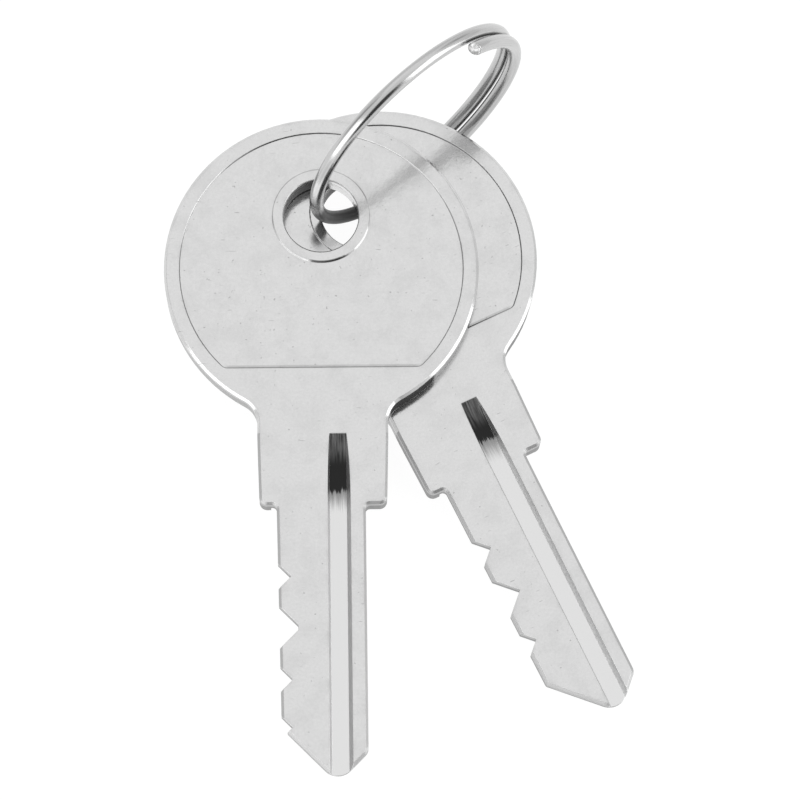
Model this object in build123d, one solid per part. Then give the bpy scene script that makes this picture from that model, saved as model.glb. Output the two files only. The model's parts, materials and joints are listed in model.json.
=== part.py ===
from build123d import *

import os
from math import asin, atan, atan2, cos, degrees, pi, radians, sin, sqrt, tan

# A pair of like flat keys on a split ring, lying on a table as they come out of a pocket.
# Millimetres, +Z up. The keys are drawn first, in the front key's own frame: the origin is
# the middle of its bow on the upper face, +Y runs up to the bow's top, the blade runs down
# -Y, and +Z leaves the upper face. The whole is then laid down on the ring and the two tips.

# Blank: one thickness of sheet, punched to the outline of bow, stem and blade
sheet = 2.0
bow_radius = 12.5
neck_radius = 2.0
stem_width_top = 10.26
stem_width_end = 9.96
stem_straight = 1.5
stem_length = 6.76
shoulder_corner_radius = 0.6
shoulder_inner_radius = 0.35
blade_left_top = 3.65
blade_left_end = 3.33
blade_right = 3.3
blade_length = 21.16
tip_x = 0.95
tip_radius = 1.4
tip_bevel_angle = 45.0
tip_corner_radius = 0.8
tip_grind_height = 1.0
tip_grind_width = 0.6
die_roll = 0.2

# Bow: the hole, the raised boss round it and the coined panel on both faces
hole_radius = 3.0
hole_inset = 8.17
hole_edge_break = 0.08
boss_width = 0.92
panel_margin = 1.27
panel_foot_inset = 4.35
panel_corner_radius = 0.6
panel_depth = 0.1
panel_slope_angle = 50.0

# Keyway groove in the upper face, milled by a disc cutter that leaves a curved run-out
cutter_radius = 17.0
groove_left = 0.5
groove_floor_width = 1.34
groove_left_slant = 0.16
groove_right_slant = 0.28
groove_depth = 0.8
groove_gap = 1.0

# Relief along the cut side of the lower face, by the same size of cutter
relief_edge = -0.6
relief_width = 3.5
relief_depth = 0.75
relief_gap = 2.1

# Bitting: V cuts with 45 degree flanks, as (distance below the shoulder, depth, flat)
cut_flank_angle = 45.0
front_bitting = ((5.70, 1.02, 0.0), (9.71, 1.46, 0.45), (13.76, 0.87, 0.22), (17.48, 0.86, 0.0))
rear_bitting = ((5.76, 1.08, 0.0), (9.80, 1.56, 0.0), (13.86, 0.90, 0.0))

# Split ring: round spring wire wound a little under one and a half turns. Angles on it count
# from the side that holds the keys, by the right hand about its axis
wire = 1.1
wire_flat_count = 28
ring_outside = 21.28
coil_gap = 0.14
coil_start_angle = -236.5
coil_end_angle = 278.0
coil_arcs = 6
wire_end_chamfer = 0.12

# How the ring stands in the holes: the heading of its far side across the keys, the lean of
# its axis, the angle on it at the front key and where its wire crosses the front key's hole,
# from the hole's middle, half way through the sheet
ring_heading = 39.7
ring_lean = -3.4
ring_grip_angle = -20.3
front_grip_x = 0.33
front_grip_y = 0.28

# The rear key lies under the front one, fanned out and pulled over until the wire is all but
# against its hole
fan_angle = 24.9
sheet_gap = 0.12
hole_clearance = 0.05
rear_pull_heading = 2.4

# Places on a key, as heights above or drops below the middle of its bow. They follow from the
# bow's edge, so that a larger bow keeps its stem, blade and hole
stem_taper_from = bow_radius + stem_straight
shoulder_drop = bow_radius + stem_length
key_reach = shoulder_drop + blade_length
hole_rise = bow_radius - hole_inset
panel_foot_drop = bow_radius - panel_foot_inset
groove_end_drop = bow_radius + groove_gap
relief_end_drop = bow_radius + relief_gap

ring_radius = (ring_outside - wire) / 2
coil_pitch = wire + coil_gap


def tip_bevels():
    """The two straight bevels as their meeting point, below the rounded tip."""
    rise = tip_radius * (1 / sin(radians(90 - tip_bevel_angle)) - 1)
    return tip_x, -(key_reach + rise)


def bevel_height(x):
    """Height of the bevel line above or beside the tip, at a place across the blade."""
    apex_x, apex_y = tip_bevels()
    return apex_y + abs(x - apex_x) * tan(radians(tip_bevel_angle))


def nearest(corners, x, y):
    return min(corners, key=lambda corner: abs(corner.X - x) + abs(corner.Y - y))


def stem_outline():
    top = (stem_width_top / 2, -stem_taper_from)
    end = (stem_width_end / 2, -shoulder_drop)
    stem = Polyline((-top[0], 0), (-top[0], top[1]), (-end[0], end[1]), end, top, (top[0], 0), close=True)
    return make_face(stem)


def blade_outline():
    apex_x, apex_y = tip_bevels()
    left = (-blade_left_end, bevel_height(-blade_left_end))
    right = (blade_right, bevel_height(blade_right))
    top = -shoulder_drop + shoulder_inner_radius
    edge = Polyline((-blade_left_top, top), left, (apex_x, apex_y), right, (blade_right, top), close=True)
    blade = make_face(edge)
    blade = fillet(nearest(blade.vertices(), apex_x, apex_y), tip_radius).face()
    return fillet(nearest(blade.vertices(), *right), tip_corner_radius)


def blank_outline():
    """Bow, stem and blade in one outline, with its neck and shoulder corners rounded."""
    outline = Sketch() + Circle(bow_radius) + stem_outline() + blade_outline()
    outline = outline.face()
    neck = sqrt(bow_radius**2 - (stem_width_top / 2) ** 2)
    half = stem_width_end / 2
    for x, y, radius in (
        (-stem_width_top / 2, -neck, neck_radius),
        (stem_width_top / 2, -neck, neck_radius),
        (-half, -shoulder_drop, shoulder_corner_radius),
        (half, -shoulder_drop, shoulder_corner_radius),
        (-blade_left_top, -shoulder_drop, shoulder_inner_radius),
        (blade_right, -shoulder_drop, shoulder_inner_radius),
    ):
        outline = fillet(nearest(outline.vertices(), x, y), radius).face()
    return outline


def tip_grind():
    """What is ground off below the tip, outside a flank that leans in from both bevels."""
    apex_x, apex_y = tip_bevels()
    side = bow_radius
    left = (-side, bevel_height(-side))
    right = (side, bevel_height(side))
    edge = Polyline(left, (apex_x, apex_y), right, (side, 0), (-side, 0), close=True)
    kept = fillet(nearest(make_face(edge).vertices(), apex_x, apex_y), tip_radius)
    lean = degrees(atan(tip_grind_width / tip_grind_height))
    kept = mirror(extrude(kept, tip_grind_height, taper=lean), about=Plane.XY)
    reach = bevel_height(-blade_left_end) + 2 * tip_grind_width - apex_y
    block = Pos(0, apex_y, -tip_grind_height / 2) * Box(2 * side, 2 * reach, tip_grind_height)
    return Pos(0, 0, tip_grind_height - sheet) * (block - kept)


def blank():
    """The punched blank: its upper edge is rolled over by the punch and its lower edge is sharp,
    but for the tip, which is ground thin from below."""
    plate = Pos(0, 0, -sheet) * extrude(blank_outline(), sheet)
    plate = chamfer(plate.faces().sort_by(Axis.Z)[-1].edges(), die_roll)
    drill = Pos(0, hole_rise, -2 * sheet) * extrude(Circle(hole_radius), 3 * sheet)
    plate = plate - tip_grind() - drill
    rim = plate.faces().sort_by(Axis.Z)[-1].inner_wires()[0].edges()
    return chamfer(rim, hole_edge_break)


def panel():
    """The coined field of the bow: a disc cut off above the stem, round the raised boss."""
    field = Circle(bow_radius - panel_margin)
    below = Pos(0, -panel_foot_drop - bow_radius) * Rectangle(2 * bow_radius, 2 * bow_radius)
    field = (field - below).face()
    field = fillet(field.vertices(), panel_corner_radius).face()
    boss = Pos(0, hole_rise) * Circle(hole_radius + boss_width)
    draft = 90 - panel_slope_angle
    sunk = extrude(field, panel_depth, taper=-draft)
    island = extrude(boss, panel_depth, taper=draft)
    return sunk - island


def cutter(profile, end_drop, depth):
    """What a disc cutter takes away: a straight pass out through the tip, and its own round
    run-out that rises to the face at end_drop."""
    rise = cutter_radius - depth
    full_depth = end_drop + sqrt(cutter_radius**2 - rise**2)
    run = key_reach + tip_radius - full_depth
    straight = Pos(0, -full_depth, 0) * extrude(Plane.XZ * profile, run)
    disc = revolve(Plane.XZ * profile, Axis((0, 0, rise), (1, 0, 0)))
    return straight + Pos(0, -full_depth, 0) * disc


def groove():
    """Keyway groove: a flat floor between two slanted walls, of which the right one leans more."""
    right = groove_left + groove_floor_width
    above = sheet / 2
    rise = (groove_depth + above) / groove_depth
    profile = Polyline(
        (groove_left, -groove_depth),
        (right, -groove_depth),
        (right + groove_right_slant * rise, above),
        (groove_left - groove_left_slant * rise, above),
        close=True,
    )
    return cutter(make_face(profile), groove_end_drop, groove_depth)


def relief():
    """Relief in the lower face, turned over from a pass cut downwards."""
    above = sheet / 2
    profile = Polyline(
        (-relief_edge, -relief_depth),
        (-relief_edge + relief_width, -relief_depth),
        (-relief_edge + relief_width, above),
        (-relief_edge, above),
        close=True,
    )
    upside_down = cutter(make_face(profile), relief_end_drop, relief_depth)
    return Pos(0, 0, -sheet) * Rot(0, 180, 0) * upside_down


def blade_left(y):
    """Left edge of the blade before it is cut, at a height on the key."""
    end = bevel_height(-blade_left_end)
    share = (-shoulder_drop - y) / (-shoulder_drop - end)
    return -blade_left_top + share * (blade_left_top - blade_left_end)


def bitting_cut(station, depth, flat):
    """One V of the bitting, drawn past the blade's edge."""
    middle = -shoulder_drop - station
    root = blade_left(middle) + depth
    reach = depth + sheet / 2
    spread = reach * tan(radians(cut_flank_angle))
    corners = [
        (root, middle + flat / 2),
        (root - reach, middle + flat / 2 + spread),
        (root - reach, middle - flat / 2 - spread),
    ]
    if flat > 0:
        corners.append((root, middle - flat / 2))
    wedge = make_face(Polyline(*corners, close=True))
    return Pos(0, 0, -2 * sheet) * extrude(wedge, 3 * sheet)


def key(bitting):
    """A finished key in its own frame."""
    solid = blank()
    upper_panel = Pos(0, 0, -panel_depth) * panel()
    lower_panel = Pos(0, 0, -sheet) * Rot(0, 180, 0) * upper_panel
    solid = solid - upper_panel - lower_panel - groove() - relief()
    for station, depth, flat in bitting:
        solid = solid - bitting_cut(station, depth, flat)
    return solid.solid()


def coil_point(angle, radius):
    """A point of the coil at an angle, in the ring's own frame."""
    turned = radians(angle)
    return Vector(radius * cos(turned), radius * sin(turned), coil_pitch * angle / 360)


def coil_arc(start, end):
    """One arc of the coil. Its middle stands a hair off the ring's radius, which makes it
    leave each end square to the radius there, so that the arcs meet in line."""
    half = radians(end - start) / 2
    climb = coil_pitch * half / (2 * pi)
    tilt = atan(climb / (ring_radius * sin(half)))
    spread = atan(tan(half) * cos(tilt))
    arc_radius = ring_radius * sin(half) / (sin(spread) * cos(tilt))
    middle_radius = ring_radius * cos(half) - arc_radius * cos(spread) + arc_radius
    middle = coil_point((start + end) / 2, middle_radius)
    return ThreePointArc(coil_point(start, ring_radius), middle, coil_point(end, ring_radius))


def split_ring():
    """The coil of wire in its own frame, with a small bevel round both cut ends. The wire's
    round is drawn as narrow flats, which keeps the coil light."""
    step = (coil_end_angle - coil_start_angle) / coil_arcs
    angles = [coil_start_angle + step * count for count in range(coil_arcs)]
    path = Wire([coil_arc(angle, angle + step).edge() for angle in angles])
    section = Plane(origin=path @ 0, z_dir=path % 0) * RegularPolygon(wire / 2, wire_flat_count)
    coil = sweep(section, path=path)
    for face in coil.faces().filter_by(GeomType.PLANE):
        coil = coil + extrude(face, wire_end_chamfer, taper=45)
    return coil.solid()


def ring_frame():
    """Where the ring stands in the front key's frame."""
    heading = radians(ring_heading)
    lean = radians(ring_lean)
    across = Vector(-cos(heading), -sin(heading), 0)
    axis = Vector(-sin(heading) * cos(lean), cos(heading) * cos(lean), sin(lean))
    grip = Vector(front_grip_x, hole_rise + front_grip_y, -sheet / 2)
    turned = Plane(origin=(0, 0, 0), x_dir=across, z_dir=axis)
    return Plane(origin=grip - turned.from_local_coords(coil_point(ring_grip_angle, ring_radius)),
                 x_dir=across, z_dir=axis)


def wire_at(height):
    """Where the wire's middle line passes a height in the holes, and half the length of the
    oval that it cuts there."""
    ring = ring_frame()
    angle = asin((height - ring.origin.Z) / (ring_radius * cos(radians(ring_lean))))
    return ring.from_local_coords(coil_point(degrees(angle), ring_radius)), wire / 2 / cos(angle)


def hinge_point(upper_height):
    """The middle of the wire's footprint in a sheet, about which a key swings a full turn
    without touching the wire, and how far the footprint reaches from it."""
    top, top_reach = wire_at(upper_height)
    foot, foot_reach = wire_at(upper_height - sheet)
    along = Vector(foot.X - top.X, foot.Y - top.Y, 0).normalized()
    first = top - along * top_reach
    last = foot + along * foot_reach
    middle = (first + last) / 2
    reach = Vector(last.X - first.X, last.Y - first.Y, 0).length / 2
    return Vector(middle.X, middle.Y, upper_height - sheet / 2), reach


def rear_frame():
    """Where the rear key lies in the front key's frame."""
    upper = -sheet - sheet_gap
    hinge, reach = hinge_point(upper)
    pull = radians(rear_pull_heading)
    slack = hole_radius - reach - hole_clearance
    hole = hinge + Vector(cos(pull), sin(pull), 0) * slack
    fan = radians(fan_angle)
    down = Vector(sin(fan), -cos(fan), 0)
    middle = hole + down * hole_rise
    return Plane(origin=(middle.X, middle.Y, upper), x_dir=(cos(fan), sin(fan), 0))


def ring_low_point(up):
    """The lowest point of the ring for a way up, on whichever turn hangs lower."""
    ring = ring_frame()
    down = ring.to_local_coords(ring.origin - up)
    angle = degrees(atan2(down.Y, down.X))
    turns = [angle + 360 * turn for turn in (-1, 0, 1)]
    turns = [turn for turn in turns if coil_start_angle < turn < coil_end_angle]
    points = [ring.from_local_coords(coil_point(turn, ring_radius)) - up * wire / 2 for turn in turns]
    return min(points, key=lambda point: point.dot(up))


def table_frame():
    """The table under the keys: it touches the ring and the lower face of both blade tips,
    where the relief runs out through the grind. The front blade points down -Y on it."""
    grind = tip_grind_width / cos(radians(tip_bevel_angle))
    corner = Vector(relief_edge, bevel_height(relief_edge) + grind, -sheet)
    rear_corner = rear_frame().from_local_coords(corner)
    up = Vector(0, 0, 1)
    for _ in range(8):
        low = ring_low_point(up)
        up = (corner - low).cross(rear_corner - low).normalized()
    forward = Vector(0, 1, 0)
    forward = (forward - up * forward.dot(up)).normalized()
    return Plane(origin=corner, x_dir=forward.cross(up), z_dir=up)


def lay_down(shapes):
    """Every piece as it lies on the table, over the middle of the box round all of them."""
    table = table_frame()
    laid = {name: table.location.inverse() * shape for name, shape in shapes.items()}
    box = Compound(list(laid.values())).bounding_box()
    centre = Pos(-box.center().X, -box.center().Y, -box.min.Z)
    return {name: centre * shape for name, shape in laid.items()}, centre * table.location.inverse()


def main():
    os.makedirs("parts", exist_ok=True)
    pieces = {
        "split_ring": ring_frame().location * split_ring(),
        "front_key": key(front_bitting),
        "rear_key": rear_frame().location * key(rear_bitting),
    }
    laid, placed = lay_down(pieces)
    for name, shape in laid.items():
        export_step(shape, f"parts/{name}.step")
    hinges = {"front": hinge_point(0)[0], "rear": hinge_point(-sheet - sheet_gap)[0]}
    for name, hinge in hinges.items():
        print(name, "key hinge", (placed * Pos(hinge)).position)
    print("hinge axis", Plane(placed).z_dir, "blade", Plane(placed).y_dir * -1)
    print("front key's frame", placed.position, placed.orientation)


if __name__ == "__main__":
    main()
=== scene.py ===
import json
from math import cos, pi, radians, sin, tan, tau
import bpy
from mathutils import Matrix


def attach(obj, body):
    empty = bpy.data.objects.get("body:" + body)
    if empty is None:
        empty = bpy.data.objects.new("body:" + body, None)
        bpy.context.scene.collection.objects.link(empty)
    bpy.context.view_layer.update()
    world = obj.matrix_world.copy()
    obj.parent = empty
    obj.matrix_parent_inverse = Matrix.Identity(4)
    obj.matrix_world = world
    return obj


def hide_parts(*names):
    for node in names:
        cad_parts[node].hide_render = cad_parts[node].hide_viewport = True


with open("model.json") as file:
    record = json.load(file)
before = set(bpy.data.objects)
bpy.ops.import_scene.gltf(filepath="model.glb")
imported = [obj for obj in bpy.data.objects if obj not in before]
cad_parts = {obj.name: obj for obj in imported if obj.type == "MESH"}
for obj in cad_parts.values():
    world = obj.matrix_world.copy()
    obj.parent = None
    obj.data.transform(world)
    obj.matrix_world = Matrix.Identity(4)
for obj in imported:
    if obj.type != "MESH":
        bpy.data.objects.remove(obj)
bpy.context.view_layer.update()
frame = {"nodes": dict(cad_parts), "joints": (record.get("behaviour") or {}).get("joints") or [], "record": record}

from types import SimpleNamespace

import bmesh
import bpy
from bpy.props import FloatProperty, FloatVectorProperty, IntProperty, PointerProperty
from mathutils import Matrix, Vector

bl_info = {
    "name": "Keys on a Split Ring",
    "version": (1, 0, 0),
    "blender": (4, 5, 0),
    "location": "3D View > Sidebar > Keys",
    "description": "Winds the split ring, plates two flat keys and sets up a studio picture",
    "category": "Object",
}

NODES = frame["nodes"]
MOUNTS = {mount["name"]: mount for mount in frame["record"]["mounts"]}
JOINTS = {joint["name"]: joint for joint in frame["joints"]}
MM = 0.001

# Places on a key in its own frame, in millimetres: the middle of its bow on the upper face is
# the origin, the bow's top lies along Y and the blade along -Y
SHOULDERS = Vector((-0.175, -19.26, -1.0))
HOLE_RISE = 4.33
HOLE_RADIUS = 3.0
BOSS_RADIUS = 3.92
PANEL_RADIUS = 11.5
PANEL_FOOT = -8.13
GROOVE_TOP = -13.5
GROOVE_LEFT = 0.5
GROOVE_RIGHT = 1.84
GROOVE_DEPTH = 0.8
PANEL_FOOT_REACH = 7.55
PRESSED_TO = -0.13  # a little below the panel's floor
NECK_X = 7.0
NECK_Y = -10.1
HANG_HEADING = 132  # degrees, from the hole's middle to where the ring hangs

# Wear of a key: how dense its pits are, the heading in radians and length in millimetres of
# each set of scratches, how far past an edge's radius a smudge reaches, and by how many
# millimetres the line below the burnished band wavers
PITS_PER_MM = 3.6
SCRATCH_SETS = ((0.6, 1.6), (1.5, 1.2), (2.4, 2.0))
SMUDGE_WIDTH = 7
BURNISH_WAVER = 0.6

# How much of its colour each kind of wear and painted shade has at its fullest, and how little the dark coat of
# wear and painted shade shines
SMUDGE_SHARE = 0.35
SPECK_SHARE = 0.6
SPREAD_SHARE = 0.25
ARC_SHARE = 0.85
TRAIL_SHARE = 0.65
STREAK_SHARE = 0.32
SEAM_SHARE = 0.4
GRIME_GLOSS = 0.15

# The ring: the solid's wire, the width and depth of the dish in a cut end, the angles on the coil between which
# the wire is painted dark, as wear from the keys and as painted shade, how many millimetres those places waver,
# and for the painted shade where the turns meet, each shade's end with its side of the girth
SOLID_WIRE = 0.0011
DISH_SHARE = 0.55
DISH_DEPTH = 0.00003
WORN = (-64, -50, -8, 4)
WORN_WAVER = 1.6
SEAMS = ((-82, "LESS_THAN", 0.75), (123, "GREATER_THAN", 0.25))

# The paper: how far it reaches and how little it lies under the keys, in metres, and how the
# camera and the metal see it
PAPER_REACH = 3.0
PAPER_DROP = 0.00001
PAPER_GLOW = 1.08
CAMERA_SHARE = 0.86
MIRROR_SHARE = 0.7

# Each lamp's heading and height in degrees, distance in metres, width and depth in degrees as
# seen from the keys, and level, of which 1 shows as white in a mirror
LAMPS = {
    "overhead_softbox": (90, 78, 0.5, 84, 70, 0.16),
    "left_softbox": (225, 20, 0.6, 58, 42, 1.3),
    "right_softbox": (343, 28, 0.6, 38, 56, 1.3),
}


def linear(hex_digits):
    """Linear RGBA of an sRGB colour in hex."""
    parts = [int(hex_digits[place:place + 2], 16) / 255 for place in (0, 2, 4)]
    shares = [part / 12.92 if part <= 0.04045 else ((part + 0.055) / 1.055) ** 2.4
              for part in parts]
    return (*shares, 1.0)


def length(name, description, default, **more):
    """A length in metres that the sidebar shows in the scene's unit."""
    return FloatProperty(name=name, description=description, default=default, precision=5,
                         unit="LENGTH", subtype="DISTANCE", **more)


def turn(name, description, default):
    """An angle, given in degrees and kept in radians."""
    return FloatProperty(name=name, description=description, default=radians(default),
                         unit="ROTATION", subtype="ANGLE")


def colour(name, description, hex_digits):
    """A colour, given as the six hex digits of its sRGB value."""
    return FloatVectorProperty(name=name, description=description, default=linear(hex_digits),
                               size=4, min=0, max=1, subtype="COLOR")


class RingSizes(bpy.types.PropertyGroup):
    """The split ring: a coil of round spring wire that stands in the holes of both keys"""
    wire: length("Wire", "Thickness of the round wire", 0.001090)
    outside: length("Outside", "Diameter of the ring over the wire", 0.021280)
    pitch: length("Pitch", "From the middle of one turn to the middle of the next", 0.00124)
    first_end: turn("First end", "Angle on the coil where the wire begins", -236.5)
    last_end: turn("Last end", "Angle on the coil where the wire stops", 278)
    end_round: length("End rounding", "How far the cut ends are rounded over", 0.00012)
    end_slant: length("End slant", "How far the shears' cut leans across the wire", 0.00035)
    heading: turn("Heading", "Direction of the far side of the ring across the front key", 39.7)
    lean: turn("Lean", "Lean of the ring's axis against the front key", -3.4)
    grip_angle: turn("Grip angle", "Angle on the coil half way through the front key", -20.3)
    grip: FloatVectorProperty(
        name="Grip", description="Where the wire passes half way through the front key",
        default=(0.00033, 0.00461, -0.001), precision=5, unit="LENGTH", subtype="TRANSLATION")
    sides: IntProperty(name="Sides", description="Flats round the wire", default=48, min=12)
    step: turn("Step", "Angle between neighbouring rings of the tube", 2)
    plate: colour("Plate", "Bright nickel on the wire", "CACACA")
    plate_shade: colour("Plate shade", "The same nickel where the drawing left it duller", "BCBCBC")
    # Dark colour of the wire's wear in the holes, partly painted shade, and of the painted shade where the turns
    # meet
    grime: colour("Grime", "Dark rubbed metal where the keys hang", "282828")
    sheared: colour("Sheared", "Bright steel of the cut ends", "E6E6E6")
    ripped: colour("Ripped", "Duller steel where the shears tore it", "A0A0A0")


class KeyFinish(bpy.types.PropertyGroup):
    """The finish of the two flat keys: a thin nickel plate over a tumbled, punched blank"""
    plate: colour("Plate", "Nickel on the flat faces", "D7D7D7")
    plate_shade: colour("Plate shade", "The same nickel where its grain is duller", "D2D2D2")
    groove: colour("Groove", "Clean nickel on the floor of the groove", "DDDDDD")
    rolled: colour("Rolled", "Nickel on the narrow edges that the press rolled over", "B8B8B8")
    burnished: colour("Burnished", "Nickel on the smooth upper band of the punched walls", "BCBCBC")
    torn: colour("Torn", "Nickel on the torn lower part of the punched walls", "9C9C9C")
    # Painted highlight: a light colour on the hole's wall, so that it shows a bright reflection
    polished: colour("Polished", "Nickel on the hole's wall, which the ring keeps bright", "F2F2F2")
    # A darker tone over the groove's run-out
    milling: colour("Milling", "Dark, close milling marks in the run-out of the groove", "2C2C2C")
    # Dark colour of wear from rubbing and of painted shade: on the hole's wall where the ring hangs, at the foot
    # of the panel and the boss, and in the neck's corner
    grime: colour("Grime", "Dark rubbed metal in the hole", "343434")
    grain: length("Grain", "Size of the fine grain of the tumbled faces", 0.00022)
    peel: length("Peel", "Size of the gentle waves in the plate", 0.0009)
    cloud: length("Clouds", "Size of the dull clouds on the faces", 0.0022)
    scratch: length("Scratch", "Width of a wear scratch", 0.00006)
    burnish: length("Burnish", "Depth of the smooth band at the top of the walls", 0.0007)
    edge: length("Edge", "Radius to which tumbling rounds every edge", 0.00006)


class StageSettings(bpy.types.PropertyGroup):
    """The picture: where the camera stands over the front key, and the light round it"""
    tilt: turn("Tilt", "Lean of the view towards the tips of the keys", 14.6481)
    pan: turn("Pan", "Turn of the view across the front key", 1.1671)
    roll: turn("Roll", "Turn of the picture round the view", 0.5111)
    distance: length("Distance", "From the camera to the plane through the front key", 0.258664)
    aim: FloatVectorProperty(
        name="Aim", description="Middle of the picture, sideways and up from the middle of the bow",
        default=(0.0062399, -0.0105260), size=2, precision=5, unit="LENGTH", subtype="TRANSLATION")
    field: turn("Field of view", "Width of the view", 14)
    softbox: colour("Softbox", "Colour of the lamps", "FFFFFF")
    tent: colour("Tent", "White cloth of the light tent over the table", "F0F0F0")
    tent_foot: colour("Foot of the tent", "The same cloth low down, where it is less lit", "E6E6E6")
    opening: colour("Opening", "The dark room in the open front of the tent", "3C3C3C")
    seam: colour("Seam", "Grey strips where the cloth overlaps", "B4B4B4")
    paper: colour("Paper", "Matte white paper under the keys", "EEEEEE")


def frame_matrix(across, along, up, origin):
    """A frame as a matrix, from its three directions and its origin."""
    return Matrix.Translation(origin) @ Matrix((across, along, up)).transposed().to_4x4()


def key_frame(which):
    """A key's own frame in the row frame, read from the mount half way across its shoulders."""
    up = Vector(JOINTS[which + "_key_swing"]["axis"]).normalized()
    mount = MOUNTS[which + "_blade"]
    along = -Vector(mount["axis"])
    along = (along - up * along.dot(up)).normalized()
    across = along.cross(up)
    shoulders = SHOULDERS * MM
    offset = across * shoulders.x + along * shoulders.y + up * shoulders.z
    return frame_matrix(across, along, up, Vector(mount["pos_m"]) - offset)


def ring_frame(sizes):
    """The ring's frame in the row frame, from where its wire passes the front key's hole."""
    across = Vector((-cos(sizes.heading), -sin(sizes.heading), 0))
    axis = Vector((-sin(sizes.heading) * cos(sizes.lean), cos(sizes.heading) * cos(sizes.lean),
                   sin(sizes.lean)))
    along = axis.cross(across)
    turned = Matrix((across, along, axis)).transposed()
    origin = Vector(sizes.grip) - turned @ coil_point(sizes, sizes.grip_angle)
    return key_frame("front") @ frame_matrix(across, along, axis, origin)


def coil_radius(sizes):
    """Radius of the coil's middle line, which the pitch and the solid's wire size give."""
    return (sizes.outside - SOLID_WIRE) / 2


def coil_point(sizes, angle):
    """A point of the coil's middle line in the ring's frame."""
    radius = coil_radius(sizes)
    return Vector((radius * cos(angle), radius * sin(angle), sizes.pitch * angle / tau))


def coil_rings(sizes):
    """The tube's rings from end to end as (middle, outward, ahead, radius, place along)."""
    count = round((sizes.last_end - sizes.first_end) / sizes.step)
    angles = [sizes.first_end + (sizes.last_end - sizes.first_end) * part / count
              for part in range(count + 1)]
    radius = coil_radius(sizes)
    rings = []
    run = 0.0
    before = coil_point(sizes, sizes.first_end)
    for angle in angles:
        middle = coil_point(sizes, angle)
        run += (middle - before).length
        before = middle
        outward = Vector((cos(angle), sin(angle), 0))
        ahead = Vector((-radius * sin(angle), radius * cos(angle), sizes.pitch / tau)).normalized()
        rings.append((middle, outward, ahead, sizes.wire / 2, run))
    return rings


def end_rings(ring, sizes, way):
    """The rounded edge of a cut end, as smaller rings beyond the last full one."""
    middle, outward, ahead, radius, run = ring
    rounded = []
    for part in (0.25, 0.5, 0.75, 1.0):
        rise = sin(part * pi / 2) * sizes.end_round * way
        drop = (1 - cos(part * pi / 2)) * sizes.end_round
        rounded.append((middle + ahead * rise, outward, ahead, radius - drop, run + rise))
    return rounded


def wind_ring(sizes):
    """The wire as one closed tube in the row frame, with its length and girth in millimetres
    as its UVs. The shears left each cut end slanted, with a shallow dish in it: the slant
    takes the last full ring and the four of the end's rounding."""
    rings = coil_rings(sizes)
    rings = list(reversed(end_rings(rings[0], sizes, -1))) + rings + end_rings(rings[-1], sizes, 1)
    mesh = bmesh.new()
    grain = mesh.loops.layers.uv.new("UVMap")
    loops = []
    for middle, outward, ahead, radius, run in rings:
        sideways = ahead.cross(outward)
        turns = [tau * side / sizes.sides for side in range(sizes.sides)]
        loops.append([mesh.verts.new(middle + (outward * cos(part) + sideways * sin(part)) * radius)
                      for part in turns])
    for rows, way in ((range(0, 5), 1), (range(-5, 0), -1)):
        for row in rows:
            middle, outward, ahead, radius, run = rings[row]
            for vertex in loops[row]:
                slant = (vertex.co - middle).dot(outward.cross(ahead)) / radius
                vertex.co += ahead * way * sizes.end_slant * (1 - slant) / 2
    for row in range(len(rings) - 1):
        for side in range(sizes.sides):
            after = (side + 1) % sizes.sides
            corners = (loops[row][side], loops[row + 1][side],
                       loops[row + 1][after], loops[row][after])
            face = mesh.faces.new(corners)
            face.smooth = True
            places = ((row, side), (row + 1, side), (row + 1, side + 1), (row, side + 1))
            for corner, (place, part) in zip(face.loops, places):
                corner[grain].uv = (rings[place][4] / MM, part / sizes.sides * pi * sizes.wire / MM)
    for row, way in ((0, -1), (-1, 1)):
        middle, outward, ahead, radius, run = rings[row]
        bottom = middle - ahead * way * DISH_DEPTH
        inner = [mesh.verts.new(bottom + (vertex.co - middle) * DISH_SHARE)
                 for vertex in loops[row]]
        for side in range(sizes.sides):
            after = (side + 1) % sizes.sides
            corners = (loops[row][side], loops[row][after], inner[after], inner[side])
            mesh.faces.new(corners).smooth = True
        mesh.faces.new(inner).smooth = True
    bmesh.ops.recalc_face_normals(mesh, faces=mesh.faces[:])
    bmesh.ops.transform(mesh, matrix=ring_frame(sizes), verts=mesh.verts[:])
    data = bpy.data.meshes.new("split_ring_wire")
    mesh.to_mesh(data)
    mesh.free()
    return data


def put(tree, kind, inputs=None, **settings):
    """Adds a node with its settings; an input is a value or another node's output."""
    node = tree.nodes.new(kind)
    for name, value in settings.items():
        setattr(node, name, value)
    for socket, value in (inputs or {}).items():
        if isinstance(value, bpy.types.NodeSocket):
            tree.links.new(value, node.inputs[socket])
        else:
            node.inputs[socket].default_value = value
    return node


def empty_material(name):
    """A material with no nodes in it yet, as (material, its node tree)."""
    material = bpy.data.materials.new(name)
    material.use_nodes = True
    material.node_tree.nodes.clear()
    return material, material.node_tree


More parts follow.
